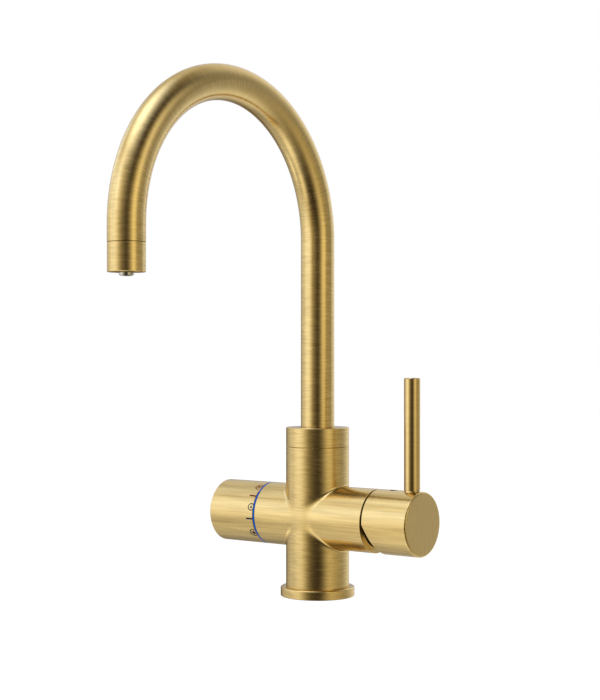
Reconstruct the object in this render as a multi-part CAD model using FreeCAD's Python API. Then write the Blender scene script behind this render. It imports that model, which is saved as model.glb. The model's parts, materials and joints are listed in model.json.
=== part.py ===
import FreeCAD, Part
import math
import os

# A kitchen tap for three kinds of water: a swan-neck spout that swivels, a mixer lever on
# the right arm for hot and cold, and a selector knob on the left arm for filtered and
# boiling water. Millimetres. The origin is the centre of the base's underside, +Z is up,
# the spout reaches towards -Y and the mixer's arm points along +X.

# Body casting
column_radius = 24.35
arm_relief = 0.2  # the arms are turned this much under the column
arm_height = 60.7
body_top = 114.6
left_arm_reach = 43.6
right_arm_reach = 55.65
crease_radius = 3.0
edge_break = 0.4  # small chamfer on turned edges
seam_break = 0.25  # the same along the seams that close up tight

# Base ring and its seal
base_radius = 28.5
base_height = 7.1
base_rounding = 1.0
base_foot_chamfer = 0.3
foot_radius = 21.0
seal_inner_radius = 23.0
seal_width = 3.5
seal_thickness = 1.8

# Water inlets and fixing studs in the foot
inlet_offset = 7.5  # of each inlet from both middle planes
inlet_radius = 4.5  # tapping drill of an M10 x 1 thread
inlet_depth = 12.0
stud_spacing = 28.0
stud_hole_radius = 2.5  # tapping drill of an M6 thread
stud_hole_depth = 14.0
channel_radius = 2.8

# Fits
seat_clearance = 0.05  # between pieces that are pushed or screwed together
running_clearance = 0.08  # between a shaft or plug and what it turns in
sliding_gap = 0.05  # between flat faces that slide
overrun = 2.0  # how far a cutter goes past what it cuts
tolerance = 0.001

# Spout tube
tube_radius = 12.9
tube_wall = 1.2
arch_radius = 106.8
arch_height = 272.8
spout_range = 135.0  # degrees each way

# Spout collar and the hub that turns in the body
collar_top = 129.5
seam_gap = 0.2
hub_radius = 17.4
hub_land = 1.8  # metal between the hub's grooves
slip_ring_width = 4.0
slip_ring_wall = 1.5
spout_seal_section = 1.3
spout_seal_groove = 3.0
stop_groove_width = 4.5
stop_groove_depth = 2.5
tube_stop_rise = 4.8
tube_stop_width = 2.2
washer_thickness = 1.5
washer_width = 2.6
bore_run_out = 2.0  # past the end of what turns or screws in a bore
chamber_radius = 12.5
chamber_depth = 6.0
stop_screw_radius = 2.5
stop_screw_tip_radius = 2.0
stop_screw_tip_length = 2.2
stop_screw_recess = 1.6
stop_screw_key = 2.5  # across the flats of its hexagon socket
socket_depth = 2.5

# Inner tube for filtered and boiling water
inner_tube_radius = 4.0
inner_tube_wall = 1.0
inner_tube_lift = 0.6  # above the channel that feeds it
inner_seal_section = 1.0
inner_seal_seat_depth = 2.6

# Outlet
outlet_leg = 32.6  # from the arch's end down to the outlet's face
outlet_ring_height = 19.8
outlet_ring_radius = 12.8
outlet_seam_gap = 0.2
outlet_spigot_length = 6.4
outlet_spigot_wall = 2.0
outlet_thread_gap = 0.15
outlet_bore_radius = 11.0
outlet_bore_depth = 14.7
aerator_recess = 1.5
aerator_length = 11.7
aerator_hole_radius = 1.25
aerator_hole_count = 12
aerator_hole_circle = 7.3
aerator_washer_width = 2.0
nozzle_radius = 5.1
nozzle_drop = 2.5  # below the outlet's face
nozzle_rounding = 1.5
nozzle_bore_radius = 2.6
nozzle_length = 18.7
nozzle_socket_depth = 8.0
nozzle_flange_width = 0.65
nozzle_flange_height = 1.4

# Selector valve in the left arm, measured along the arm from the body's axis
valve_seat = 18.0
valve_radius = 15.0
valve_wall = 2.3
valve_end = 36.0
valve_end_wall = 3.0
valve_neck_radius = 7.0
valve_neck_end = 44.0
valve_nut_radius = 17.0
valve_nut_end = 46.5
valve_seal_thickness = 1.6
valve_port_drop = 5.0
valve_port_rise = 6.5
disc_thickness = 3.2
valve_disc_play = 0.25
spindle_radius = 4.0
spindle_end = 65.0
spindle_foot_thickness = 3.0
spindle_shoulder_radius = 8.0
spindle_seal_section = 0.75
spindle_seal_groove = 1.8
spindle_seal_place = 39.0

# Indicator ring and selector knob
indicator_width = 1.2
knob_gap = 0.25
knob_end = 88.5
knob_wall = 4.35
knob_end_wall = 8.7
knob_end_chamfer = 0.8
knob_boss_radius = 10.0
knob_boss_start = 52.0
knob_screw_place = 58.5
knob_screw_radius = 2.0
knob_screw_length = 5.5
knob_screw_key = 2.0
selector_range = 90.0  # degrees each way

# Mixer cartridge in the right arm, measured along the arm from the body's axis
cartridge_seat = 20.0
cartridge_radius = 17.5
cartridge_wall = 2.5
cartridge_end = 48.0
cartridge_base_lift = 0.2
cartridge_base_thickness = 3.2
cartridge_port_rise = 5.0
cartridge_port_drop = 8.2
cartridge_seal_width = 1.4
cartridge_seal_depth = 1.6
mixed_channel_offset = 9.4
fixed_disc_radius = 14.0
moving_disc_radius = 12.0
pocket_radius = 7.9
pocket_drop = 2.6
pocket_depth = 1.8
carrier_thickness = 4.0
carrier_boss_radius = 5.5
carrier_boss_end = 38.0
carrier_key_offset = 9.5
carrier_key_width = 2.0
carrier_key_half_length = 4.0
carrier_key_end = 39.8
key_clearance = 0.2
rotor_start = 38.4
rotor_end = 47.8
rotor_slot_half_height = 9.5
pivot_place = 44.0
pivot_pin_radius = 2.0
pivot_pin_fit = 0.03
pivot_pin_half_length = 13.9

# Lever stem
stem_width = 8.0
stem_start = 40.0
stem_end = 80.0
stem_arm = 8.0  # from the pivot to the ball that moves the disc
stem_ball_radius = 3.0
stem_neck_radius = 2.0
stem_play = 0.2
ball_play = 0.2

# Cartridge nut with its dome
nut_gap = 0.1
nut_thread_radius = 19.6
nut_thread_end = 52.5
nut_opening_radius = 13.0
dome_radius = 21.6

# Mixer handle, its set screw with its plug, and its lever
handle_top_gap = 1.15  # between the arm and the handle's crown
handle_gap = 1.65  # the same where the wedge starts
handle_end = 95.8
handle_rounding = 1.6
handle_cavity_gap = 0.6
wedge_drop = 0.4  # the wedge starts this far below the arm's axis
wedge_depth = 8.35
wedge_bulge = 0.95
set_screw_place = 70.5
set_screw_radius = 3.0
set_screw_length = 12.0
set_screw_key = 3.0
screw_plug_radius = 3.4
screw_plug_depth = 4.0
screw_plug_sink = 0.25
lever_place = 86.2
lever_radius = 6.0
lever_top = 168.3
lever_top_chamfer = 0.4
lever_foot_height = 0.4
lever_neck_slope = 1.1  # height over which the neck narrows
lever_neck_depth = 0.5
lever_neck_shoulder = 0.3
lever_seat_radius = 6.1
lever_seat_depth = 0.95
lever_spigot_radius = 3.0
lever_spigot_length = 9.0
mixer_range = 45.0  # degrees each way
lift_range = 20.0  # degrees

full_turn = 360.0
half_turn = 180.0
quarter_turn = 90.0
hexagon_sides = 6

V = FreeCAD.Vector
X = V(1, 0, 0)
Y = V(0, 1, 0)
Z = V(0, 0, 1)

# Sizes that several pieces share
arm_radius = column_radius - arm_relief
bore_radius = hub_radius + running_clearance
collar_bottom = body_top + seam_gap
hub_grooves = (
    ("slip", slip_ring_width),
    ("seal", spout_seal_groove),
    ("seal", spout_seal_groove),
    ("stop", stop_groove_width),
    ("slip", slip_ring_width),
)
hub_length = hub_land + sum(width + hub_land for kind, width in hub_grooves)
hub_bottom = collar_bottom - hub_length
bore_floor = hub_bottom - bore_run_out
chamber_floor = bore_floor - chamber_depth
selector_outlet_height = arm_height + valve_port_rise
inner_tube_bottom = selector_outlet_height + channel_radius + inner_tube_lift
tube_bottom = hub_bottom + tube_stop_rise
outlet_face = arch_height - outlet_leg
tube_end = outlet_face + outlet_ring_height + outlet_seam_gap
outlet_y = -2 * arch_radius
washer_inner_radius = bore_radius + seat_clearance
aerator_bottom = outlet_face + aerator_recess
aerator_top = aerator_bottom + aerator_length
nozzle_bottom = outlet_face - nozzle_drop
nozzle_top = nozzle_bottom + nozzle_length
nozzle_socket_floor = nozzle_top - nozzle_socket_depth
valve_cavity_radius = valve_radius - valve_wall
valve_cavity_end = valve_end - valve_end_wall
valve_disc_start = valve_seat + valve_seal_thickness
moving_disc_start = valve_disc_start + disc_thickness + sliding_gap
valve_foot_start = moving_disc_start + disc_thickness
knob_start = left_arm_reach + indicator_width + knob_gap
knob_cavity_radius = arm_radius - knob_wall
knob_cavity_end = knob_end - knob_end_wall
cartridge_cavity_radius = cartridge_radius - cartridge_wall
cartridge_base_start = cartridge_seat + cartridge_base_lift
fixed_disc_start = cartridge_base_start + cartridge_base_thickness
mixer_disc_start = fixed_disc_start + disc_thickness + sliding_gap
carrier_start = mixer_disc_start + disc_thickness
nut_start = cartridge_end + nut_gap
handle_start = right_arm_reach + handle_top_gap
wedge_start = right_arm_reach + handle_gap
lever_seat_height = arm_radius - lever_seat_depth
stem_half_width = stem_width / 2
disc_travel = stem_arm * math.sin(math.radians(lift_range))


def at_arm(along, across=0.0, up=0.0):
    """A point measured from where the arms' axis crosses the column's axis."""
    return V(along, across, arm_height + up)


def at_left_arm(along, across=0.0, up=0.0):
    """A point measured the same way, but to the left."""
    return at_arm(-along, across, up)


def turned(outline, base, axis, out):
    """A turned solid, from outline corners of (distance along the axis, radius)."""
    corners = [base + axis * along + out * radius for along, radius in outline]
    face = Part.Face(Part.makePolygon(corners + corners[:1]))
    return face.revolve(base, axis, full_turn)


def upright(outline, x=0.0, y=0.0):
    """A solid turned about a vertical axis, from corners of (height, radius)."""
    return turned(outline, V(x, y, 0), Z, X)


def on_right_arm(outline):
    """A solid turned about the arms' axis, from corners of (reach to the right, radius)."""
    return turned(outline, at_arm(0), X, Z)


def on_left_arm(outline):
    """A solid turned about the arms' axis, from corners of (reach to the left, radius)."""
    return turned(outline, at_arm(0), -X, Z)


def rod(radius, start, end):
    """A round bar, or the hole that a drill leaves, between two points."""
    run = end - start
    return Part.makeCylinder(radius, run.Length, start, run)


def box(low, high):
    """A block between its lowest and highest corners."""
    size = high - low
    return Part.makeBox(size.x, size.y, size.z, low)


def ring(inner, outer, low, high):
    """The outline of a plain ring or tube."""
    return [(low, inner), (low, outer), (high, outer), (high, inner)]


def plug(radius, low, high):
    """The outline of a plain disc or bar."""
    return ring(0, radius, low, high)


def seal_ring(section, middle_radius, centre, axis):
    """A round rubber ring."""
    return Part.makeTorus(middle_radius, section, centre, axis)


def hexagon(across_flats, start, end):
    """The hexagon socket that a screw is turned by."""
    run = end - start
    side = Y if abs(run.x) > abs(run.y) else X
    spoke = side * (across_flats / math.sqrt(3))
    turn = FreeCAD.Rotation(run, full_turn / hexagon_sides)
    corners = []
    for count in range(hexagon_sides):
        corners.append(start + spoke)
        spoke = turn.multVec(spoke)
    return Part.Face(Part.makePolygon(corners + corners[:1])).extrude(run)


def grub_screw(radius, key, tip, tail):
    """A headless screw, with its hexagon socket in the tail end."""
    run = (tail - tip).normalize()
    screw = rod(radius, tip, tail)
    return screw.cut(hexagon(key, tail - run * socket_depth, tail + run * overrun))


def round_edges(solid, centre, radius):
    """The circular edges of a solid round one centre, of one radius."""
    found = []
    for edge in solid.Edges:
        if not isinstance(edge.Curve, Part.Circle):
            continue
        if (edge.Curve.Center - centre).Length > tolerance:
            continue
        if abs(edge.Curve.Radius - radius) < tolerance:
            found.append(edge)
    return found


def groove_floors():
    """Each groove of the hub as (kind, lowest height, highest height), from below."""
    floors = []
    height = hub_bottom + hub_land
    for kind, width in hub_grooves:
        floors.append((kind, height, height + width))
        height += width + hub_land
    return floors


def groove_middles(kind):
    """The middle heights of the hub's grooves of one kind."""
    return [(low + high) / 2 for name, low, high in groove_floors() if name == kind]


def inlet_places():
    """The four water inlets in the foot, as signs along X and Y."""
    return [(side, depth) for side in (1, -1) for depth in (1, -1)]


def column_and_arms():
    """The upright column crossed by both arms, with rounded creases between them."""
    column = upright(
        [
            (base_height, 0),
            (base_height, column_radius),
            (body_top - seam_break, column_radius),
            (body_top, column_radius - seam_break),
            (body_top, 0),
        ]
    )
    arms = on_right_arm(
        [
            (-left_arm_reach, 0),
            (-left_arm_reach, arm_radius - edge_break),
            (edge_break - left_arm_reach, arm_radius),
            (right_arm_reach - seam_break, arm_radius),
            (right_arm_reach, arm_radius - seam_break),
            (right_arm_reach, 0),
        ]
    )
    cross = column.fuse(arms).removeSplitter()
    creases = [edge for edge in cross.Edges if not isinstance(edge.Curve, (Part.Circle, Part.Line))]
    return cross.makeFillet(crease_radius, creases)


def spout_bore():
    """The bore that the spout's hub turns in, with the mixed water's chamber under it."""
    washer_floor = body_top + seam_gap - washer_thickness
    recess_radius = washer_inner_radius + washer_width + seat_clearance
    return upright(
        [
            (chamber_floor, 0),
            (chamber_floor, chamber_radius),
            (bore_floor, chamber_radius),
            (bore_floor, bore_radius),
            (washer_floor, bore_radius),
            (washer_floor, recess_radius),
            (body_top + overrun, recess_radius),
            (body_top + overrun, 0),
        ]
    )


def inner_tube_socket():
    """The socket for the inner tube's foot, with a seat for its seal."""
    top = V(0, 0, chamber_floor + overrun)
    seat = V(0, 0, chamber_floor - inner_seal_seat_depth)
    hole_radius = inner_tube_radius + running_clearance
    seat_radius = hole_radius + 2 * inner_seal_section + seat_clearance
    tube_hole = rod(hole_radius, V(0, 0, selector_outlet_height), top)
    return tube_hole.fuse(rod(seat_radius, seat, top))


def mixer_bore():
    """The bore for the cartridge, opened out for the thread of its nut."""
    thread_start = nut_start - bore_run_out
    return on_right_arm(
        [
            (cartridge_seat, 0),
            (cartridge_seat, cartridge_radius + seat_clearance),
            (thread_start, cartridge_radius + seat_clearance),
            (thread_start, nut_thread_radius + seat_clearance),
            (right_arm_reach + overrun, nut_thread_radius + seat_clearance),
            (right_arm_reach + overrun, 0),
        ]
    )


def valve_bore():
    """The bore for the selector valve, opened out for the thread of its nut."""
    return on_left_arm(
        [
            (valve_seat, 0),
            (valve_seat, valve_radius + seat_clearance),
            (valve_end, valve_radius + seat_clearance),
            (valve_end, valve_nut_radius + seat_clearance),
            (left_arm_reach + overrun, valve_nut_radius + seat_clearance),
            (left_arm_reach + overrun, 0),
        ]
    )


def supply_channels():
    """The threaded inlets, and the channels from them to both valves."""
    drills = []
    for side, depth in inlet_places():
        x = side * inlet_offset
        y = depth * inlet_offset
        rise = cartridge_port_rise if side > 0 else -valve_port_drop
        seat = cartridge_seat if side > 0 else -valve_seat
        corner = at_arm(x, y, rise)
        drills.append(rod(inlet_radius, V(x, y, -overrun), V(x, y, inlet_depth)))
        drills.append(rod(channel_radius, V(x, y, 0), corner))
        drills.append(rod(channel_radius, corner, at_arm(seat + side * overrun, y, rise)))
    return drills


def delivery_channels():
    """The channels from both valves to the spout."""
    mixed = at_arm(mixed_channel_offset, 0, -cartridge_port_drop)
    selected = V(0, 0, selector_outlet_height)
    return [
        rod(channel_radius, mixed, at_arm(cartridge_seat + overrun, 0, -cartridge_port_drop)),
        rod(channel_radius, mixed, V(mixed_channel_offset, 0, chamber_floor + overrun)),
        rod(channel_radius, selected, at_left_arm(valve_seat + overrun, 0, valve_port_rise)),
    ]


def stud_holes():
    """Two threaded holes for the studs that clamp the tap to its worktop."""
    return [
        rod(stud_hole_radius, V(x, 0, -overrun), V(x, 0, stud_hole_depth))
        for x in (stud_spacing / 2, -stud_spacing / 2)
    ]


def stop_screw_hole():
    """The threaded hole for the spout's stop screw, in the back of the column."""
    height = groove_middles("stop")[0]
    return rod(
        stop_screw_radius + seat_clearance,
        V(0, bore_radius - overrun, height),
        V(0, column_radius + overrun, height),
    )


def body_casting():
    """The solid body: column, arms, foot, and every bore and channel in them."""
    foot = rod(foot_radius, V(), V(0, 0, base_height + overrun))
    body = column_and_arms().fuse(foot)
    cutters = [spout_bore(), inner_tube_socket(), mixer_bore(), valve_bore(), stop_screw_hole()]
    cutters += supply_channels() + delivery_channels() + stud_holes()
    return body.cut(cutters)


def base_ring():
    """The flange that the body stands in, with a groove for the seal below."""
    inner = foot_radius + seat_clearance
    flange = upright(
        [
            (0, inner),
            (0, base_radius - base_foot_chamfer),
            (base_foot_chamfer, base_radius),
            (base_height, base_radius),
            (base_height, inner),
        ]
    )
    flange = flange.makeFillet(base_rounding, round_edges(flange, Z * base_height, base_radius))
    seal_outer_radius = seal_inner_radius + seal_width
    groove = ring(
        seal_inner_radius - seat_clearance,
        seal_outer_radius + seat_clearance,
        -overrun,
        seal_thickness,
    )
    return flange.cut(upright(groove))


def base_seal():
    """The flat rubber seal between the base and the worktop."""
    return upright(ring(seal_inner_radius, seal_inner_radius + seal_width, 0, seal_thickness))


def thrust_washer():
    """The plastic washer that the spout's collar rests and turns on."""
    outer = washer_inner_radius + washer_width
    return upright(ring(washer_inner_radius, outer, collar_bottom - washer_thickness, collar_bottom))


def spout_stop_screw():
    """The screw whose tip runs in the hub's groove: it holds the spout down and limits its turn."""
    height = groove_middles("stop")[0]
    shoulder = V(0, bore_radius + seat_clearance, height)
    tail = V(0, column_radius - stop_screw_recess, height)
    tip = shoulder - Y * stop_screw_tip_length
    screw = grub_screw(stop_screw_radius, stop_screw_key, shoulder, tail)
    return screw.fuse(rod(stop_screw_tip_radius, tip, shoulder))


def spout_sweep(radius, low, far_end):
    """A bar along the spout's line: up, over the arch and down."""
    arch_middle = V(0, -arch_radius, arch_height)
    start = Part.Face(Part.Wire(Part.makeCircle(radius, V(0, 0, arch_height), Z)))
    riser = rod(radius, V(0, 0, low), V(0, 0, arch_height))
    leg = rod(radius, V(0, outlet_y, far_end), V(0, outlet_y, arch_height))
    return riser.fuse([start.revolve(arch_middle, X, half_turn), leg]).removeSplitter()


def swan_neck(radius, wall, low, far_end):
    """A bent tube along the spout's line."""
    inside = spout_sweep(radius - wall, low - overrun, far_end - overrun)
    return spout_sweep(radius, low, far_end).cut(inside)


def spout_tube():
    """The visible swan neck."""
    return swan_neck(tube_radius, tube_wall, tube_bottom, tube_end)


def inner_water_tube():
    """The tube inside the swan neck that keeps filtered and boiling water apart."""
    end = nozzle_socket_floor + seat_clearance
    return swan_neck(inner_tube_radius, inner_tube_wall, inner_tube_bottom, end)


def stop_groove(low, high):
    """The hub's groove for the stop screw, left uncut where the spout's turn ends."""
    floor = hub_radius - stop_groove_depth
    half_angle = spout_range + math.degrees(math.asin(stop_groove_width / 2 / floor))
    span = 2 * half_angle
    cutter = Part.makeCylinder(hub_radius + overrun, high - low, V(0, 0, low), Z, span)
    core = rod(floor, V(0, 0, low - overrun), V(0, 0, high + overrun))
    cutter = cutter.cut(core)
    cutter.rotate(V(), Z, quarter_turn - half_angle)
    return cutter


def spout_collar():
    """The collar at the foot of the swan neck, with the hub that turns in the body."""
    tube_bore = tube_radius + seat_clearance
    collar = upright(
        [
            (hub_bottom, tube_radius - tube_stop_width),
            (hub_bottom, hub_radius - edge_break),
            (hub_bottom + edge_break, hub_radius),
            (collar_bottom, hub_radius),
            (collar_bottom, column_radius - seam_break),
            (collar_bottom + seam_break, column_radius),
            (collar_top - edge_break, column_radius),
            (collar_top, column_radius - edge_break),
            (collar_top, tube_bore),
            (tube_bottom, tube_bore),
            (tube_bottom, tube_radius - tube_stop_width),
        ]
    )
    cutters = []
    for kind, low, high in groove_floors():
        if kind == "stop":
            cutters.append(stop_groove(low, high))
            continue
        depth = slip_ring_wall if kind == "slip" else 2 * spout_seal_section
        floor = hub_radius - depth - seat_clearance
        cutters.append(upright(ring(floor, hub_radius + overrun, low, high)))
    return collar.cut(cutters)


def spout_slip_rings():
    """Two plastic rings that guide the hub in its bore."""
    rings = []
    for middle in groove_middles("slip"):
        low = middle - slip_ring_width / 2 + seat_clearance
        high = middle + slip_ring_width / 2 - seat_clearance
        rings.append(upright(ring(hub_radius - slip_ring_wall, hub_radius, low, high)))
    return Part.makeCompound(rings)


def spout_seals():
    """Two rubber rings that seal the hub in its bore."""
    middle_radius = hub_radius - spout_seal_section
    rings = [
        seal_ring(spout_seal_section, middle_radius, V(0, 0, height), Z)
        for height in groove_middles("seal")
    ]
    return Part.makeCompound(rings)


def inner_tube_seal():
    """The rubber ring round the inner tube's foot."""
    height = chamber_floor - inner_seal_section - seat_clearance
    middle_radius = inner_tube_radius + running_clearance + inner_seal_section
    return seal_ring(inner_seal_section, middle_radius, V(0, 0, height), Z)


def outlet_ring():
    """The screwed ring at the spout's end, which holds the aerator."""
    seam = outlet_face + outlet_ring_height
    spigot_radius = tube_radius - tube_wall - outlet_thread_gap
    spigot_top = seam + outlet_spigot_length
    shelf = outlet_face + outlet_bore_depth
    spigot_bore = spigot_radius - outlet_spigot_wall
    return upright(
        [
            (outlet_face, outlet_bore_radius),
            (outlet_face, outlet_ring_radius - edge_break),
            (outlet_face + edge_break, outlet_ring_radius),
            (seam - seam_break, outlet_ring_radius),
            (seam, outlet_ring_radius - seam_break),
            (seam, spigot_radius),
            (spigot_top, spigot_radius),
            (spigot_top, spigot_bore),
            (shelf, spigot_bore),
            (shelf, outlet_bore_radius),
        ],
        y=outlet_y,
    )


def aerator_insert():
    """The plastic insert that lets mixed water out in a ring of jets round the nozzle."""
    inner = nozzle_radius + seat_clearance
    outer = outlet_bore_radius - seat_clearance
    body = upright(ring(inner, outer, aerator_bottom, aerator_top), y=outlet_y)
    holes = []
    for count in range(aerator_hole_count):
        angle = 2 * math.pi * count / aerator_hole_count
        x = aerator_hole_circle * math.cos(angle)
        y = outlet_y + aerator_hole_circle * math.sin(angle)
        low = V(x, y, aerator_bottom - overrun)
        holes.append(rod(aerator_hole_radius, low, V(x, y, aerator_top + overrun)))
    return body.cut(holes)


def aerator_washer():
    """The rubber washer between the aerator and the shelf above it."""
    outer = outlet_bore_radius - seat_clearance
    shelf = outlet_face + outlet_bore_depth
    return upright(ring(outer - aerator_washer_width, outer, aerator_top, shelf), y=outlet_y)


def outlet_nozzle():
    """The steel nozzle in the middle of the outlet, at the end of the inner tube."""
    flange_bottom = aerator_top
    flange_top = flange_bottom + nozzle_flange_height
    socket_radius = inner_tube_radius + seat_clearance
    nozzle = upright(
        [
            (nozzle_bottom, nozzle_bore_radius),
            (nozzle_bottom, nozzle_radius),
            (flange_bottom, nozzle_radius),
            (flange_bottom, nozzle_radius + nozzle_flange_width),
            (flange_top, nozzle_radius + nozzle_flange_width),
            (flange_top, nozzle_radius),
            (nozzle_top, nozzle_radius),
            (nozzle_top, socket_radius),
            (nozzle_socket_floor, socket_radius),
            (nozzle_socket_floor, nozzle_bore_radius),
        ],
        y=outlet_y,
    )
    rim = V(0, outlet_y, nozzle_bottom)
    return nozzle.makeFillet(nozzle_rounding, round_edges(nozzle, rim, nozzle_radius))


def selector_valve_body():
    """The brass housing of the selector valve, with a neck for its spindle."""
    bore = spindle_radius + running_clearance
    return on_left_arm(
        [
            (valve_seat, valve_cavity_radius),
            (valve_seat, valve_radius),
            (valve_end, valve_radius),
            (valve_end, valve_neck_radius),
            (valve_neck_end, valve_neck_radius),
            (valve_neck_end, bore),
            (valve_cavity_end, bore),
            (valve_cavity_end, valve_cavity_radius),
        ]
    )


def selector_ports():
    """The waterways through the selector's seal and fixed disc, as (across, up)."""
    return [
        (inlet_offset, -valve_port_drop),
        (-inlet_offset, -valve_port_drop),
        (0, valve_port_rise),
    ]


def selector_plate(start, thickness, ports):
    """A round plate in the selector's housing, drilled for the given waterways."""
    radius = valve_cavity_radius - seat_clearance
    end = start + thickness
    plate = on_left_arm(plug(radius, start, end))
    holes = []
    for y, up in ports:
        near = at_left_arm(start - overrun, y, up)
        far = at_left_arm(end + overrun, y, up)
        holes.append(rod(channel_radius, near, far))
    return plate.cut(holes)


def selector_seat_seal():
    """The moulded rubber seal between the casting and the fixed disc."""
    return selector_plate(valve_seat, valve_seal_thickness, selector_ports())


def selector_fixed_disc():
    """The ceramic disc that stays in the selector's housing."""
    return selector_plate(valve_disc_start, disc_thickness, selector_ports())


def selector_moving_disc():
    """The ceramic disc that the knob turns over the fixed one."""
    radius = valve_cavity_radius - valve_disc_play
    disc = on_left_arm(plug(radius, moving_disc_start, moving_disc_start + disc_thickness))
    near = at_left_arm(moving_disc_start - overrun, 0, valve_port_rise)
    far = at_left_arm(moving_disc_start + disc_thickness / 2, 0, valve_port_rise)
    return disc.cut(rod(channel_radius + valve_disc_play, near, far))


def selector_spindle():
    """The spindle from the moving disc out to the knob, with a groove for its seal."""
    foot_end = valve_foot_start + spindle_foot_thickness
    spindle_foot_radius = valve_cavity_radius - valve_disc_play
    spindle = on_left_arm(
        [
            (valve_foot_start, 0),
            (valve_foot_start, spindle_foot_radius),
            (foot_end, spindle_foot_radius),
            (foot_end, spindle_shoulder_radius),
            (valve_cavity_end - sliding_gap, spindle_shoulder_radius),
            (valve_cavity_end - sliding_gap, spindle_radius),
            (spindle_end - edge_break, spindle_radius),
            (spindle_end, spindle_radius - edge_break),
            (spindle_end, 0),
        ]
    )
    groove_start = spindle_seal_place - spindle_seal_groove / 2
    floor = spindle_radius - 2 * spindle_seal_section - seat_clearance
    groove_end = groove_start + spindle_seal_groove
    groove = ring(floor, spindle_radius + overrun, groove_start, groove_end)
    return spindle.cut(on_left_arm(groove))


def spindle_seal():
    """The rubber ring in the spindle's groove."""
    middle_radius = spindle_radius - spindle_seal_section
    return seal_ring(spindle_seal_section, middle_radius, at_left_arm(spindle_seal_place), X)


def selector_valve_nut():
    """The nut that holds the selector valve in its arm."""
    inner = valve_neck_radius + seat_clearance
    return on_left_arm(ring(inner, valve_nut_radius, valve_end, valve_nut_end))


def indicator_ring():
    """The blue ring between the arm and the knob, carried on the nut."""
    inner = valve_nut_radius + seat_clearance
    end = left_arm_reach + indicator_width
    return on_left_arm(ring(inner, arm_radius, left_arm_reach, end))


def selector_knob():
    """The selector's knob: a cup with a boss inside for the spindle."""
    boss_bore = spindle_radius + seat_clearance
    bore_end = spindle_end + seat_clearance
    knob = on_left_arm(
        [
            (knob_start, knob_cavity_radius),
            (knob_start, arm_radius - edge_break),
            (knob_start + edge_break, arm_radius),
            (knob_end - knob_end_chamfer, arm_radius),
            (knob_end, arm_radius - knob_end_chamfer),
            (knob_end, 0),
            (bore_end, 0),
            (bore_end, boss_bore),
            (knob_boss_start, boss_bore),
            (knob_boss_start, knob_boss_radius),
            (knob_cavity_end, knob_boss_radius),
            (knob_cavity_end, knob_cavity_radius),
        ]
    )
    screw_hole = rod(
        knob_screw_radius + seat_clearance,
        at_left_arm(knob_screw_place, 0, -spindle_radius),
        at_left_arm(knob_screw_place, 0, -arm_radius - overrun),
    )
    return knob.cut(screw_hole)


def knob_grub_screw():
    """The screw, reached from below, that clamps the knob on its spindle."""
    tip = at_left_arm(knob_screw_place, 0, -spindle_radius - seat_clearance)
    return grub_screw(knob_screw_radius, knob_screw_key, tip, tip - Z * knob_screw_length)


def cartridge_housing():
    """The cartridge's round plastic housing."""
    outline = ring(cartridge_cavity_radius, cartridge_radius, cartridge_seat, cartridge_end)
    return on_right_arm(outline)


def mixer_ports():
    """The cartridge's two inlets and its outlet, as (across, up)."""
    return [
        (inlet_offset, cartridge_port_rise),
        (-inlet_offset, cartridge_port_rise),
        (0, -cartridge_port_drop),
    ]


def mixer_holes(radius, start, end):
    """A hole through each of the cartridge's waterways."""
    return [rod(radius, at_arm(start, y, up), at_arm(end, y, up)) for y, up in mixer_ports()]


def cartridge_base():
    """The cartridge's base plate, counterbored for its three seals."""
    radius = cartridge_cavity_radius - seat_clearance
    base = on_right_arm(plug(radius, cartridge_base_start, fixed_disc_start))
    seat_radius = channel_radius + cartridge_seal_width + seat_clearance
    seat_end = cartridge_seat + cartridge_seal_depth
    through = mixer_holes(channel_radius, cartridge_seat - overrun, fixed_disc_start + overrun)
    seats = mixer_holes(seat_radius, cartridge_seat - overrun, seat_end)
    return base.cut(through + seats)


def cartridge_seals():
    """Three short rubber sleeves between the cartridge and the casting."""
    end = cartridge_seat + cartridge_seal_depth
    outer = mixer_holes(channel_radius + cartridge_seal_width, cartridge_seat, end)
    inner = mixer_holes(channel_radius, cartridge_seat - overrun, end + overrun)
    return Part.makeCompound([sleeve.cut(hole) for sleeve, hole in zip(outer, inner)])


def cartridge_fixed_disc():
    """The ceramic disc that stays on the cartridge's base."""
    end = fixed_disc_start + disc_thickness
    disc = on_right_arm(plug(fixed_disc_radius, fixed_disc_start, end))
    return disc.cut(mixer_holes(channel_radius, fixed_disc_start - overrun, end + overrun))


def cartridge_moving_disc():
    """The ceramic disc that slides over the fixed one, with the mixing pocket in it."""
    disc = on_right_arm(plug(moving_disc_radius, mixer_disc_start, carrier_start))
    pocket = rod(
        pocket_radius,
        at_arm(mixer_disc_start - overrun, 0, -pocket_drop),
        at_arm(mixer_disc_start + pocket_depth, 0, -pocket_drop),
    )
    return disc.cut(pocket)


def key_rails(grow, lift):
    """The carrier's two keys, or with room added the rotor's slots for them."""
    rails = []
    half = carrier_key_width / 2 + grow
    for side in (1, -1):
        middle = side * carrier_key_offset
        low = at_arm(carrier_start, middle - half, -carrier_key_half_length - grow)
        high = at_arm(carrier_key_end + grow, middle + half, carrier_key_half_length + grow + lift)
        rails.append(box(low, high))
    return rails


def disc_carrier():
    """The plastic carrier on the moving disc, with a socket for the stem's ball."""
    plate_end = carrier_start + carrier_thickness
    socket_radius = stem_ball_radius + ball_play
    socket_floor = pivot_place - stem_arm - socket_radius - ball_play
    carrier = on_right_arm(plug(moving_disc_radius, carrier_start, plate_end))
    boss = on_right_arm(plug(carrier_boss_radius, carrier_start, carrier_boss_end))
    socket = on_right_arm(plug(socket_radius, socket_floor, carrier_boss_end + overrun))
    return carrier.fuse([boss] + key_rails(0, 0)).cut(socket)


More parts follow.
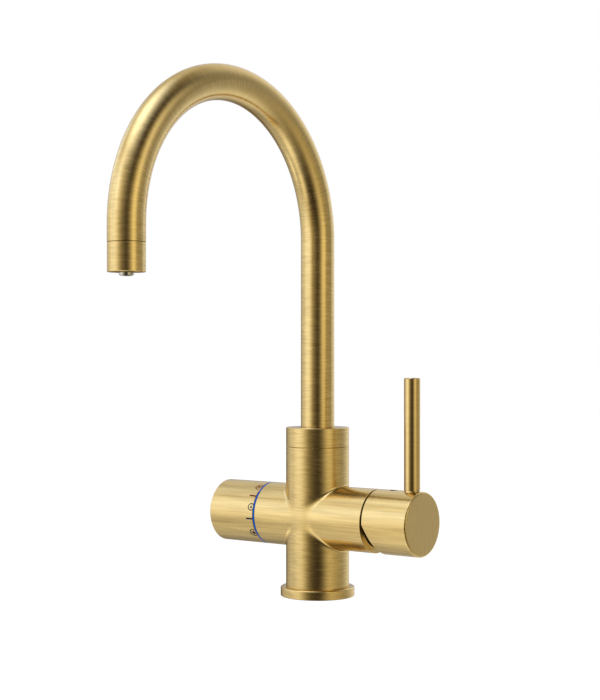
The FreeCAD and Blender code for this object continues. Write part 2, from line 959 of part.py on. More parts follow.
def cartridge_rotor():
    """The rotor that turns in the housing and carries the lever's pivot."""
    radius = cartridge_cavity_radius - running_clearance
    rotor = on_right_arm(plug(radius, rotor_start, rotor_end))
    half_width = stem_half_width + stem_play
    slot = box(
        at_arm(rotor_start - overrun, -half_width, -rotor_slot_half_height),
        at_arm(rotor_end + overrun, half_width, rotor_slot_half_height),
    )
    pin_hole = rod(
        pivot_pin_radius + pivot_pin_fit,
        at_arm(pivot_place, -cartridge_radius),
        at_arm(pivot_place, cartridge_radius),
    )
    return rotor.cut([slot, pin_hole] + key_rails(key_clearance, disc_travel))


def lever_pivot_pin():
    """The steel pin that the stem tilts on."""
    low = at_arm(pivot_place, -pivot_pin_half_length)
    return rod(pivot_pin_radius, low, at_arm(pivot_place, pivot_pin_half_length))


def cartridge_stem():
    """The square stem from the handle through the pivot, ending in a ball."""
    ball_middle = at_arm(pivot_place - stem_arm)
    shank = box(
        at_arm(stem_start, -stem_half_width, -stem_half_width),
        at_arm(stem_end, stem_half_width, stem_half_width),
    )
    ball = Part.makeSphere(stem_ball_radius, ball_middle)
    neck = rod(stem_neck_radius, ball_middle, at_arm(pivot_place - stem_half_width + overrun))
    pin_hole = rod(
        pivot_pin_radius + running_clearance,
        at_arm(pivot_place, -stem_width),
        at_arm(pivot_place, stem_width),
    )
    return shank.fuse([neck, ball]).cut(pin_hole)


def cartridge_nut():
    """The nut that holds the cartridge, with a dome centred on the lever's pivot."""
    end = pivot_place + math.sqrt(dome_radius**2 - nut_opening_radius**2)
    blank = on_right_arm(plug(nut_thread_radius, nut_start, end))
    dome = Part.makeSphere(dome_radius, at_arm(pivot_place))
    thread = on_right_arm(plug(nut_thread_radius, nut_start, nut_thread_end))
    opening = on_right_arm(plug(nut_opening_radius, nut_start - overrun, end + overrun))
    return blank.common(dome).fuse(thread).removeSplitter().cut(opening)


def wedge_cutter():
    """What is cut from the handle's face, so that it can tilt over the arm's end.

    Above the wedge's start the face leans back a little. Below it, the face curves away.
    """
    rise = arm_radius - wedge_drop
    chord = math.hypot(wedge_depth, rise)
    lean = (handle_gap - handle_top_gap) / (arm_radius + wedge_drop)
    start = at_arm(wedge_start, 0, -wedge_drop)
    end = at_arm(wedge_start + wedge_depth, 0, -arm_radius)
    middle = (start + end) / 2 + V(rise, 0, wedge_depth) * (wedge_bulge / chord)
    crown = at_arm(handle_start - lean * overrun, 0, arm_radius + overrun)
    below = at_arm(wedge_start + wedge_depth, 0, -arm_radius - overrun)
    corner = at_arm(handle_start - overrun, 0, -arm_radius - overrun)
    top_corner = at_arm(handle_start - overrun, 0, arm_radius + overrun)
    edges = [
        Part.Arc(start, middle, end).toShape(),
        Part.makeLine(end, below),
        Part.makeLine(below, corner),
        Part.makeLine(corner, top_corner),
        Part.makeLine(top_corner, crown),
        Part.makeLine(crown, start),
    ]
    profile = Part.Face(Part.Wire(edges))
    half_width = arm_radius + overrun
    profile.translate(-Y * half_width)
    return profile.extrude(Y * 2 * half_width)


def mixer_handle():
    """The mixer's handle: hollow over the dome, with a square socket for the stem."""
    handle = on_right_arm(
        [
            (handle_start, 0),
            (handle_start, arm_radius - seam_break),
            (handle_start + seam_break, arm_radius),
            (handle_end, arm_radius),
            (handle_end, 0),
        ]
    )
    handle = handle.makeFillet(handle_rounding, round_edges(handle, at_arm(handle_end), arm_radius))
    half = stem_half_width + seat_clearance
    socket_end = stem_end + seat_clearance
    top = arm_radius + overrun
    cutters = [
        Part.makeSphere(dome_radius + handle_cavity_gap, at_arm(pivot_place)),
        box(at_arm(pivot_place, -half, -half), at_arm(socket_end, half, half)),
        wedge_cutter(),
        rod(
            set_screw_radius + seat_clearance,
            at_arm(set_screw_place),
            at_arm(set_screw_place, 0, top),
        ),
        rod(
            screw_plug_radius + seat_clearance,
            at_arm(set_screw_place, 0, arm_radius - screw_plug_depth),
            at_arm(set_screw_place, 0, top),
        ),
        rod(
            lever_spigot_radius + seat_clearance,
            at_arm(lever_place, 0, lever_seat_height - lever_spigot_length - seat_clearance),
            at_arm(lever_place, 0, top),
        ),
        rod(
            lever_seat_radius,
            at_arm(lever_place, 0, lever_seat_height),
            at_arm(lever_place, 0, top),
        ),
    ]
    return handle.cut(cutters)


def handle_set_screw():
    """The screw that clamps the handle on the stem, sunk in the hole on top."""
    tip = at_arm(set_screw_place, 0, stem_half_width)
    return grub_screw(set_screw_radius, set_screw_key, tip, tip + Z * set_screw_length)


def handle_screw_plug():
    """The soft plug that closes the set screw's hole, nearly flush with the handle."""
    foot = at_arm(set_screw_place, 0, arm_radius - screw_plug_depth)
    blank = rod(screw_plug_radius, foot, at_arm(set_screw_place, 0, arm_radius))
    skin = rod(arm_radius - screw_plug_sink, at_arm(handle_start), at_arm(handle_end))
    return blank.common(skin)


def lever_pin():
    """The lever that the hand moves, screwed into the top of the handle.

    A slight neck above its foot catches the light.
    """
    foot = arm_height + lever_seat_height
    neck_start = foot + lever_foot_height
    neck_end = neck_start + lever_neck_slope
    return upright(
        [
            (foot - lever_spigot_length, 0),
            (foot - lever_spigot_length, lever_spigot_radius),
            (foot, lever_spigot_radius),
            (foot, lever_radius),
            (neck_start, lever_radius),
            (neck_end, lever_radius - lever_neck_depth),
            (neck_end + lever_neck_shoulder, lever_radius),
            (lever_top - lever_top_chamfer, lever_radius),
            (lever_top, lever_radius - lever_top_chamfer),
            (lever_top, 0),
        ],
        x=lever_place,
    )


PIECES = (
    body_casting,
    base_ring,
    base_seal,
    thrust_washer,
    spout_stop_screw,
    spout_tube,
    spout_collar,
    spout_slip_rings,
    spout_seals,
    inner_water_tube,
    inner_tube_seal,
    outlet_ring,
    aerator_insert,
    aerator_washer,
    outlet_nozzle,
    selector_valve_body,
    selector_seat_seal,
    selector_fixed_disc,
    selector_moving_disc,
    selector_spindle,
    spindle_seal,
    selector_valve_nut,
    indicator_ring,
    selector_knob,
    knob_grub_screw,
    cartridge_housing,
    cartridge_base,
    cartridge_seals,
    cartridge_fixed_disc,
    cartridge_moving_disc,
    disc_carrier,
    cartridge_rotor,
    lever_pivot_pin,
    cartridge_stem,
    cartridge_nut,
    mixer_handle,
    handle_set_screw,
    handle_screw_plug,
    lever_pin,
)

os.makedirs("parts", exist_ok=True)
for piece in PIECES:
    shape = piece()
    name = piece.__name__
    print(name, "solids", len(shape.Solids), "valid", shape.isValid(), "volume", round(shape.Volume))
    shape.exportStep("parts/" + name + ".step")
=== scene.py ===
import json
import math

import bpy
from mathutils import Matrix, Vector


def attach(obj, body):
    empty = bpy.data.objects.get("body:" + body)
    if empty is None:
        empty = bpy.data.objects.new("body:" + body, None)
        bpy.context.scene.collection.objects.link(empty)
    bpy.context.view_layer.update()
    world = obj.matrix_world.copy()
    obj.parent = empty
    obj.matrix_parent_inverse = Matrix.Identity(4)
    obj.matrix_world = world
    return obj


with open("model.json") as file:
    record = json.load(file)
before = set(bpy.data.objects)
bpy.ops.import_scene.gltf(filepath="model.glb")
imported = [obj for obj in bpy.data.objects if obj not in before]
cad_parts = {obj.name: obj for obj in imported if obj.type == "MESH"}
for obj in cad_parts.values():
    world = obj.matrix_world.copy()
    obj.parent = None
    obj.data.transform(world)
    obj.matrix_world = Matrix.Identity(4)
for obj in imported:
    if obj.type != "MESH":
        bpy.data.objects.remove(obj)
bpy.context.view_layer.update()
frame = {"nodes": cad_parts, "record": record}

# %% [markdown]
# # A kitchen tap with a selector for filtered and boiling water
# The imported CAD model is the fixed frame: every brass, steel, rubber and ceramic piece is
# already in its place, in metres. This lesson adds what the CAD has no words for: the studio,
# the brushed brass, the printed marks on the selector, and the camera.

MM = 0.001
nodes = frame["nodes"]

# %% [markdown]
# ## Camera
# The photograph was taken from a good metre away, at about half the tap's height, 37 degrees
# to the right of the spout. A short lens from nearby would fill the picture too, but the arm
# in front would look too thick. A long lens from farther away keeps the pieces' sizes true,
# and a level camera keeps the column upright.

# %% Camera
camera_place = (0.6816, -0.9365, 0.18895)
camera_turn = math.radians(36.72)

camera_data = bpy.data.cameras.new("camera")
camera_data.lens = 77.19
camera_data.sensor_width = 36.0
camera = bpy.data.objects.new("camera", camera_data)
camera.location = camera_place
camera.rotation_euler = (math.radians(90), 0, camera_turn)
bpy.context.scene.collection.objects.link(camera)
bpy.context.scene.camera = camera
print("camera stands", round(Vector(camera_place[:2]).length, 3), "m from the column")

# %% [markdown]
# ## Writing shader maths
# A finish is a tree of nodes. It could be drawn by hand in the shader editor, or added one node
# and one link at a time, but both are hard to read back. Here a Wire stands for one node's
# output and takes part in ordinary sums, and each sum adds the node that works it out.


# %% Wires
def fill(socket, value):
    """Gives a socket a link, or a value that suits its kind."""
    if isinstance(value, Wire):
        value.tree.links.new(value.socket, socket)
    elif socket.type in ("VECTOR", "RGBA") and isinstance(value, (int, float)):
        socket.default_value = [value] * len(socket.default_value)
    elif socket.type == "RGBA" and len(value) == 3:
        socket.default_value = (*value, 1.0)
    else:
        socket.default_value = value


def add_node(tree, kind, inputs=(), output=0, **settings):
    """Adds a node: its settings first, then what its sockets hold, by name or by order."""
    node = tree.nodes.new(kind)
    for name, value in settings.items():
        setattr(node, name, value)
    pairs = inputs.items() if isinstance(inputs, dict) else enumerate(inputs)
    for key, value in pairs:
        fill(node.inputs[key], value)
    return Wire(tree, node.outputs[output])


class Wire:
    """A node's output, which can be added, subtracted, multiplied and divided."""

    def __init__(self, tree, socket):
        self.tree = tree
        self.socket = socket

    def math(self, operation, *others):
        """Works on numbers with a Math node, and on colours and vectors with Vector Math."""
        wires = (self, *others)
        sockets = [wire.socket.type for wire in wires if isinstance(wire, Wire)]
        if "VECTOR" in sockets or "RGBA" in sockets:
            return add_node(self.tree, "ShaderNodeVectorMath", wires, operation=operation)
        return add_node(self.tree, "ShaderNodeMath", wires, operation=operation)

    def __add__(self, other):
        return self.math("ADD", other)

    def __radd__(self, other):
        return self.math("ADD", other)

    def __sub__(self, other):
        return self.math("SUBTRACT", other)

    def __rsub__(self, other):
        return add_node(self.tree, "ShaderNodeMath", (other, self), operation="SUBTRACT")

    def __mul__(self, other):
        return self.math("MULTIPLY", other)

    def __rmul__(self, other):
        return self.math("MULTIPLY", other)

    def __truediv__(self, other):
        return self.math("DIVIDE", other)


def clamped(wire):
    """A number kept between 0 and 1."""
    return wire.math("MAXIMUM", 0.0).math("MINIMUM", 1.0)


def eased(share):
    """A share from 0 to 1 that starts and ends softly."""
    return share * share * (3.0 - share * 2.0)


print("wires can be added, subtracted, multiplied and divided")

# %% [markdown]
# A Finish is one material's tree. It has one method for any kind of node, short names for the
# few that come back again and again, and a last one that closes the tree with its surface.


# %% Finishes
class Finish:
    """A material, ready for its nodes."""

    def __init__(self, name):
        self.material = bpy.data.materials.new(name)
        self.material.use_nodes = True
        self.tree = self.material.node_tree
        self.tree.nodes.clear()

    def node(self, kind, inputs=(), output=0, **settings):
        """Any node, as add_node makes it."""
        return add_node(self.tree, kind, inputs, output, **settings)

    def place(self):
        """The piece's own coordinates, in metres."""
        return self.node("ShaderNodeTexCoord", output="Object")

    def skin_normal(self):
        """The direction that the surface faces."""
        return self.node("ShaderNodeNewGeometry", output="Normal")

    def split(self, vector):
        """The x, y and z of a vector, as three wires."""
        first = self.node("ShaderNodeSeparateXYZ", (vector,))
        return [Wire(self.tree, socket) for socket in first.socket.node.outputs]

    def joined(self, x, y, z):
        """One vector from three numbers."""
        return self.node("ShaderNodeCombineXYZ", (x, y, z))

    def unit(self, vector):
        """The vector's direction, with a length of 1."""
        return self.node("ShaderNodeVectorMath", (vector,), operation="NORMALIZE")

    def scaled(self, share, colour):
        """A colour or vector times a share, or times one share for each of its parts."""
        return self.node("ShaderNodeVectorMath", (share, colour), operation="MULTIPLY")

    def blended(self, share, first, second):
        """A vector that passes from the first to the second as the share goes from 0 to 1."""
        sockets = {"Factor": share, "A": first, "B": second}
        return self.node("ShaderNodeMix", sockets, output="Result", data_type="VECTOR")

    def surface(self, shader):
        """Closes the tree with its surface and gives the material."""
        output = self.tree.nodes.new("ShaderNodeOutputMaterial")
        self.tree.links.new(shader.socket, output.inputs["Surface"])
        return self.material


print("finishes can be made")

# %% [markdown]
# ## The light tent
# Brushed metal shows hardly any colour of its own: what the eye reads as brass is the room in
# it. The photograph's room can be read off the curved tube, where every direction is mirrored
# once. It is a white tent with broad soft lights high on the left, a warm card on the right,
# and a dark gap in front, where the camera looks in. Area lamps could stand round the tap, but
# each would show its square edge in the brass. Here one sphere carries them all, each as a
# soft round glow or shade. It lights everything, and only the camera doesn't see it.

# %% Soft lights and shades
# For each: azimuth from the camera's side towards its right and elevation, in degrees, then
# tightness, strength and warmth. A shade has a negative strength. The warmth says how much
# less blue than green there is in the light.
TENT_WHITE = (0.645, 0.61, 0.53)
SOFT_LIGHTS = {
    "overhead softbox": (-84, 71, 10, 3.8, -1.55),
    "left softbox": (-72, 11, 8, 2.5, -0.5),
    "left softbox, dimmer middle": (-75, 13, 21, -1.0, -0.15),
    "left softbox, upper edge": (-66, 30, 54, 0.55, -0.5),
    "second light on the left": (-93, 25, 54, 0.5, -0.35),
    "left rim light": (-125, 30, 17, 1.45, -0.85),
    "low left card": (-57, -37, 22, 1.0, 0.1),
    "shade beside the low card": (-51, -36, 2.3, -0.6, -0.1),
    "warm card on the right": (49, 12, 29, 0.65, 0.25),
    "warm card's spill": (59, 6, 6.1, 4.4, 1.1),
    "warm card's upper end": (69, 28, 26, 1.05, 0.1),
    "shade round the warm card": (60, 6, 13, -2.05, -0.55),
    "fill from behind": (152, 6, 1.7, 0.15, -1.1),
    "dark gap for the camera": (68, 10, 2.4, -3.75, -1.0),
    "dark gap's left edge": (-62, 3, 7.8, -0.55, 0.35),
    "shade on the right": (124, -12, 22, -0.35, 0.2),
    "shade overhead": (-124, 86, 14, -1.5, 0.45),
    "shade behind": (-179, -11, 9.7, -0.85, 0.4),
    "shade high on the left": (-104, 53, 5.3, -1.8, 0.75),
    "low left strip": (-112, -33, 72, 1.05, 0.0),
    "glow on the right": (112, 9, 1.3, 1.45, 1.0),
    "small shade behind": (-170, -45, 44, -0.4, 0.0),
    "low front card": (-80, -70, 16, 1.15, 0.0),
    "small shade below": (-123, -69, 23, -0.45, 0.0),
    "narrow light on the left": (-116, -7, 180, 0.25, -0.1),
    "shade over the warm card": (71, 22, 42, -0.5, -0.1),
    "low shade behind": (-157, -13, 21, -0.3, 0.05),
    "small glow on the right": (121, -12, 47, 0.1, -0.15),
    "high shade on the right": (120, 29, 19, -0.15, 0.1),
}
print(len(SOFT_LIGHTS), "soft lights and shades")

# %% [markdown]
# Each light is brightest in its own direction and falls off with the angle from it, faster
# where it is tighter. The tent's colour is its white with all of them added. Where the shades
# together take away more than there is, the tent stays at its darkest tone.

# %% The tent
REDDENING = 0.35  # a warm light's extra red, as a share of its warmth
DARKEST = 0.012
tent_radius = 1.5
tent_centre = (0.0, -0.1, 0.19)


def toward(azimuth, elevation):
    """The direction of a light, from its angles round the camera's own direction."""
    along = math.radians(azimuth) + camera_turn
    up = math.radians(elevation)
    return Vector((math.cos(up) * math.sin(along), -math.cos(up) * math.cos(along), math.sin(up)))


def light_colour(strength, warmth):
    """A warm light has less blue than green, and some more red."""
    return (strength + REDDENING * warmth, strength, strength - warmth)


def glow(finish, direction, middle, tightness):
    """1 in the light's middle, falling off softly round it."""
    facing = finish.node(
        "ShaderNodeVectorMath", (direction, middle), output="Value", operation="DOT_PRODUCT"
    )
    return ((facing - 1.0) * tightness).math("EXPONENT")


def tent_finish():
    """The inside of the tent, with its lights and shades."""
    finish = Finish("light_tent")
    direction = finish.unit(finish.place())
    light = finish.scaled(1.0, TENT_WHITE)
    for azimuth, elevation, tightness, strength, warmth in SOFT_LIGHTS.values():
        share = glow(finish, direction, toward(azimuth, elevation), tightness)
        light = light + finish.scaled(share, light_colour(strength, warmth))
    light = light.math("MAXIMUM", DARKEST)
    return finish.surface(finish.node("ShaderNodeEmission", {"Color": light, "Strength": 1.0}))


bpy.ops.object.select_all(action="DESELECT")
bpy.ops.mesh.primitive_uv_sphere_add(
    segments=64, ring_count=32, radius=tent_radius, location=tent_centre
)
tent = bpy.context.object
tent.name = "light_tent"
tent.data.materials.append(tent_finish())
tent.active_material.cycles.emission_sampling = "NONE"
tent.visible_camera = False
print("the tent is", 2 * tent_radius, "m wide")

# %% [markdown]
# ## Floor and background
# The photograph's ground is plain white, with a faint soft shadow round the tap's foot. More
# light would make a pale sheet white too, but it would bleach the brass. So the sheet and the
# world are white by themselves to the camera, and a little of the sheet's own paint is mixed
# in to keep the shadow. Mirrored rays pass the sheet and meet the tent, because the
# photograph's brass shows no bright floor in its dark middle.

# %% The floor
WHITE = (1, 1, 1)
PALE_PAINT = (0.86, 0.86, 0.86)
FLOOR_WHITENING = 0.95
FLOOR_GLOW = 1.08
FLOOR_GAP = 0.02 * MM
floor_radius = 3.0


def seen_directly(tree):
    """1 for rays from the camera, from a mirror or through glass, and 0 for all others."""
    camera_ray = add_node(tree, "ShaderNodeLightPath", output="Is Camera Ray")
    glossy_ray = add_node(tree, "ShaderNodeLightPath", output="Is Glossy Ray")
    clear_ray = add_node(tree, "ShaderNodeLightPath", output="Is Transmission Ray")
    return camera_ray.math("MAXIMUM", glossy_ray).math("MAXIMUM", clear_ray)


def floor_finish():
    """Pale paint, white to the camera."""
    finish = Finish("pale_floor")
    paint = finish.node("ShaderNodeBsdfDiffuse", {"Color": PALE_PAINT})
    white = finish.node("ShaderNodeEmission", {"Color": WHITE, "Strength": FLOOR_GLOW})
    share = seen_directly(finish.tree) * FLOOR_WHITENING
    return finish.surface(finish.node("ShaderNodeMixShader", (share, paint, white)))


bpy.ops.object.select_all(action="DESELECT")
bpy.ops.mesh.primitive_circle_add(
    vertices=96, radius=floor_radius, fill_type="NGON", location=(0, 0, -FLOOR_GAP)
)
floor = bpy.context.object
floor.name = "floor"
floor.data.materials.append(floor_finish())
floor.visible_glossy = False
print("the floor is", 2 * floor_radius, "m wide")

# %% [markdown]
# Past the floor's edge the camera sees the world, which is white to it as well. Other rays
# find a plain grey there, though nearly all of them meet the tent first.

# %% The world
WORLD_GREY = (0.7, 0.7, 0.7)

world = bpy.data.worlds.new("studio")
world.use_nodes = True
world_tree = world.node_tree
world_tree.nodes.clear()
backdrop = add_node(
    world_tree,
    "ShaderNodeMix",
    {"Factor": seen_directly(world_tree), "A": WORLD_GREY, "B": WHITE},
    output="Result",
    data_type="RGBA",
)
world_shader = add_node(world_tree, "ShaderNodeBackground", {"Color": backdrop, "Strength": 1.0})
world_output = world_tree.nodes.new("ShaderNodeOutputWorld")
world_tree.links.new(world_shader.socket, world_output.inputs["Surface"])
bpy.context.scene.world = world
bpy.context.scene.view_settings.view_transform = "Standard"
print("floor and world are white to the camera")

# %% [markdown]
# ## Brushed gold brass
# The real finish is a gold coating over brass that was stroked with abrasive belts. The
# strokes run round the column, the tube and the collar, and along the arms. Each stroke is a
# shallow scratch, a little duller or brighter than its neighbours. An image of scratches would
# repeat and would need every piece unwrapped. A noise that is squeezed hard across the strokes
# and stretched along them gives such lines anywhere, at any size.

# %% Strokes
ROUND_STROKES = (11 * MM, 1.4 * MM)  # length and pitch of the strokes round a piece
LONG_STROKES = (40 * MM, 1.7 * MM)  # the same along the arms
NOISE_DETAIL = 2.0
NOISE_ROUGHNESS = 0.6
NOISE_MIDDLE = 0.5
ARM_SHIFT = 3.0  # takes the arms' lines from another part of the noise


def stretched_noise(finish, place, reach, shift=0.0):
    """Noise whose patches are as long along x, y and z as reach says, in metres."""
    squeezed = finish.node(
        "ShaderNodeMapping",
        {"Vector": place, "Location": shift, "Scale": [1 / length for length in reach]},
    )
    return finish.node(
        "ShaderNodeTexNoise",
        {"Vector": squeezed, "Scale": 1.0, "Detail": NOISE_DETAIL, "Roughness": NOISE_ROUGHNESS},
        output="Fac",
    )


def calmed(stroke, share):
    """The same strokes with only a share of their contrast."""
    return (stroke - NOISE_MIDDLE) * share + NOISE_MIDDLE


def upright_strokes(finish):
    """Lines round a vertical piece."""
    length, pitch = ROUND_STROKES
    return stretched_noise(finish, finish.place(), (length, length, pitch))


def arm_strokes(finish):
    """Lines along the arms' axis."""
    length, pitch = LONG_STROKES
    return stretched_noise(finish, finish.place(), (length, pitch, pitch), shift=ARM_SHIFT)


pitches = [round(pitch / MM, 1) for length, pitch in (ROUND_STROKES, LONG_STROKES)]
print("strokes are", pitches, "mm apart")

# %% [markdown]
# The swan neck's strokes run round the tube everywhere, like the lines on a bent hose. Lines
# that are merely level would cross the arch wrongly. So the arch is unrolled: each point gets
# its height along the tube instead of its real height. The photograph shows the strokes
# fainter at the crown, so they are calmed there.

# %% Strokes round the swan neck
CROWN_CALM = 0.45
arch_radius = 106.8 * MM
arch_height = 272.8 * MM


def swan_neck_strokes(finish):
    """Lines round the tube, up the riser, over the arch and down, faintest at the crown."""
    x, y, z = finish.split(finish.place())
    out = y + arch_radius
    above = (z - arch_height).math("MAXIMUM", 0.0)
    below = (z - arch_height).math("MINIMUM", 0.0)
    turn = above.math("ARCTAN2", out)
    along = turn * arch_radius + below * out.math("SIGN")
    from_centre = (out * out + above * above).math("SQRT")
    length, pitch = ROUND_STROKES
    unrolled = finish.joined(x, from_centre, along)
    stroke = stretched_noise(finish, unrolled, (length, length, pitch))
    return calmed(stroke, 1.0 - eased(clamped(above / arch_radius)) * CROWN_CALM)


print("the swan neck is", round(math.pi * arch_radius, 3), "m round its bend")

# %% [markdown]
# The knob and the handle have lines along their sides and finer upright ones on their flat
# ends. A second material could go on the ends' faces, but an end is easy to tell by how far
# out it lies, so one material shows both kinds of stroke.

# %% Strokes on the knob and handle
FACE_STROKES = (12 * MM, 0.8 * MM)  # length and pitch of the strokes on the flat ends
FACE_CONTRAST = 0.5
FACE_SHIFT = 5.0
FACE_SKIN = 0.1 * MM


def capped_strokes(node):
    """Makes the strokes for a node: lines along it, and upright ones on its flat end."""
    flat_end = max(abs(corner[0]) for corner in nodes[node].bound_box) - FACE_SKIN

    def strokes(finish):
        x, y, z = finish.split(finish.place())
        length, pitch = FACE_STROKES
        face = stretched_noise(finish, finish.place(), (pitch, pitch, length), shift=FACE_SHIFT)
        on_face = (x.math("ABSOLUTE") - flat_end).math("GREATER_THAN", 0.0)
        return arm_strokes(finish) * (1.0 - on_face) + calmed(face, FACE_CONTRAST) * on_face

    return strokes


print("strokes on a flat end are", round(FACE_STROKES[1] / MM, 1), "mm apart")

# %% [markdown]
# The casting is column and arms in one piece, and its strokes run round the one and along the
# other. A point belongs to the skin that it is nearest to, and the two kinds of stroke fade
# into each other over a few millimetres.

# %% Strokes on the casting
STROKE_FADE = 4 * MM
arm_height = 60.7 * MM
column_radius = 24.35 * MM
arm_radius = 24.15 * MM


def crossing(finish):
    """How far a point is from the column's skin and from the arms' skin."""
    x, y, z = finish.split(finish.place())
    height = z - arm_height
    from_column = ((x * x + y * y).math("SQRT") - column_radius).math("ABSOLUTE")
    from_arms = ((height * height + y * y).math("SQRT") - arm_radius).math("ABSOLUTE")
    return from_column, from_arms


def arm_share(finish, fade):
    """0 on the column and 1 on the arms, passing from one to the other within the fade."""
    from_column, from_arms = crossing(finish)
    return clamped((from_column - from_arms) / fade + 0.5)


def casting_strokes(finish):
    """Round the column and along the arms, fading into each other at the crossing."""
    share = arm_share(finish, STROKE_FADE)
    return arm_strokes(finish) * share + upright_strokes(finish) * (1.0 - share)


print("the arms are", round(arm_height / MM, 1), "mm above the worktop")

# %% [markdown]
# Where the arms meet the column, hand polishing has rounded the crease, most of all in front,
# where both skins nearly touch. A larger fillet in the CAD would widen the outline as well. So
# the casting's shading normal turns from one skin's to the other's over a few millimetres
# there, which is all that the eye sees of that polishing.

# %% The polished crossing
POLISHED_REACH = 5.2 * MM
POLISHED_EDGE = 1.3 * MM


def polished_normal(finish):
    """The casting's normal, softened at the crossing."""
    x, y, z = finish.split(finish.place())
    column_normal = finish.unit(finish.joined(x, y, 0.0))
    arm_normal = finish.unit(finish.joined(0.0, y, z - arm_height))
    turned = finish.blended(eased(arm_share(finish, POLISHED_REACH)), column_normal, arm_normal)
    from_column, from_arms = crossing(finish)
    near = clamped((POLISHED_REACH - (from_column + from_arms)) / POLISHED_EDGE)
    return finish.unit(finish.blended(near, finish.skin_normal(), turned))


print("the crossing is polished over", round(POLISHED_REACH / MM, 1), "mm")

# %% [markdown]
# Deep seams are painted dark: a painted shade for the light that doesn't reach into them.
# It could be painted by hand, but it has to move with the joints. The Ambient Occlusion node
# finds the seams: it is low wherever the brass is boxed in, and the colour is multiplied by it.

# %% Painted shade in the seams
SEAM_REACH = 1.6 * MM
SEAM_SAMPLES = 6
SEAM_BLACK = 0.06  # the openness at which a seam is darkest
SEAM_GAIN = 2.3
SEAM_DARKEST = 0.02


def painted_seam_shade(finish):
    """Painted seam shade: 1 in the open, falling to nearly nothing deep in a seam."""
    openness = finish.node(
        "ShaderNodeAmbientOcclusion",
        {"Distance": SEAM_REACH},
        output="AO",
        samples=SEAM_SAMPLES,
        only_local=False,
    )
    return clamped((openness - SEAM_BLACK) * SEAM_GAIN).math("MAXIMUM", SEAM_DARKEST)


print("seams are dark within", round(SEAM_REACH / MM, 1), "mm")

# %% [markdown]
# One function makes the brass for every piece, and is given the strokes to use. The strokes
# drive the colour, the roughness and a very small bump together, as a real scratch does. Broad
# stains keep large faces from looking printed. The lever is polished finer than the rest.
# Metal turns paler where it is seen at a flat angle, and the specular tint keeps that rim
# golden.

# %% Brass
GOLD = (0.74, 0.545, 0.222)
GOLDEN_RIM = (0.86, 0.80, 0.70)
STAIN_SIZE = 30 * MM
STAIN_CONTRAST = 0.10
STAIN_SHIFT = 7.0
STROKE_DULLNESS = 0.16
STROKE_DEPTH = 0.010 * MM


def brushed_brass(name, strokes, roughness=0.22, contrast=0.34, normal=None):
    """Gold brass with the given strokes."""
    finish = Finish(name)
    stroke = strokes(finish)
    stain = stretched_noise(finish, finish.place(), (STAIN_SIZE,) * 3, shift=STAIN_SHIFT)
    lines = (stroke - NOISE_MIDDLE) * (2 * contrast)
    patches = (stain - NOISE_MIDDLE) * STAIN_CONTRAST
    # the colour is multiplied by the painted shade of the seams
    shade = (lines + patches + 1.0) * painted_seam_shade(finish)
    bump = {"Strength": 1.0, "Distance": STROKE_DEPTH, "Height": stroke}
    if normal:
        bump["Normal"] = normal(finish)
    shader = finish.node(
        "ShaderNodeBsdfPrincipled",
        {
            "Base Color": finish.scaled(shade, GOLD),
            "Metallic": 1.0,
            "Roughness": (stroke - NOISE_MIDDLE) * STROKE_DULLNESS + roughness,
            "Specular Tint": GOLDEN_RIM,
            "Normal": finish.node("ShaderNodeBump", bump),
        },
    )
    return finish.surface(shader)


brass_finishes = {
    "body_casting": brushed_brass("brass_casting", casting_strokes, normal=polished_normal),
    "spout_tube": brushed_brass("brass_swan_neck", swan_neck_strokes),
    "selector_knob": brushed_brass("brass_knob", capped_strokes("selector_knob"), contrast=0.30),
    "mixer_handle": brushed_brass("brass_handle", capped_strokes("mixer_handle"), contrast=0.30),
    "lever_pin": brushed_brass("brass_lever", upright_strokes, roughness=0.14, contrast=0.14),
}
brass_upright = brushed_brass("brass_upright", upright_strokes)
for name in ("base_ring", "spout_collar", "outlet_ring"):
    brass_finishes[name] = brass_upright
print("brass for", sorted(brass_finishes))

# %% [markdown]
# ## The other finishes
# Most of the steel, turned brass, rubber, ceramic and plastic pieces are inside, and plain
# colours would do for the picture. But the tap can be taken apart, so each material has a soft
# grain in its colour, its roughness and a very small bump: long and thin for turned metal, and
# round for moulded plastic.

# %% Grained finishes
GRAIN_DEPTH = 0.004 * MM


def grained(
    name,
    colour,
    roughness,
    metallic=0.0,
    reach=(3, 3, 3),
    contrast=0.05,
    wear=0.05,
    coat=0.0,
    specular=0.5,
):
    """A finish with a soft grain, as long along x, y and z as reach says, in millimetres."""
    finish = Finish(name)
    grain = stretched_noise(finish, finish.place(), [length * MM for length in reach])
    shade = (grain - NOISE_MIDDLE) * (2 * contrast) + 1.0
    bump = {"Strength": 1.0, "Distance": GRAIN_DEPTH, "Height": grain}
    shader = finish.node(
        "ShaderNodeBsdfPrincipled",
        {
            "Base Color": finish.scaled(shade, colour),
            "Metallic": metallic,
            "Roughness": (grain - NOISE_MIDDLE) * (2 * wear) + roughness,
            "Coat Weight": coat,
            "Specular IOR Level": specular,
            "Normal": finish.node("ShaderNodeBump", bump),
        },
    )
    return finish.surface(shader)


slot_finishes = {
    "raw_brass": grained(
        "turned_brass", (0.60, 0.42, 0.17), 0.30, metallic=1.0, reach=(6, 0.5, 6)
    ),
    "stainless_steel": grained(
        "polished_steel", (0.62, 0.60, 0.57), 0.14, metallic=1.0, reach=(8, 8, 0.6), contrast=0.03
    ),
    "black_rubber": grained("black_rubber", (0.02, 0.02, 0.02), 0.62, contrast=0.2),
    "white_ceramic": grained("white_ceramic", (0.85, 0.84, 0.80), 0.20, coat=0.4),
    "white_plastic": grained("white_plastic", (0.78, 0.78, 0.76), 0.42),
    "grey_plastic": grained("grey_plastic", (0.25, 0.25, 0.26), 0.45),
    "blue_plastic": grained("blue_plastic", (0.0, 0.125, 0.62), 0.6, specular=0.1),
}
print("finishes for", sorted(slot_finishes))

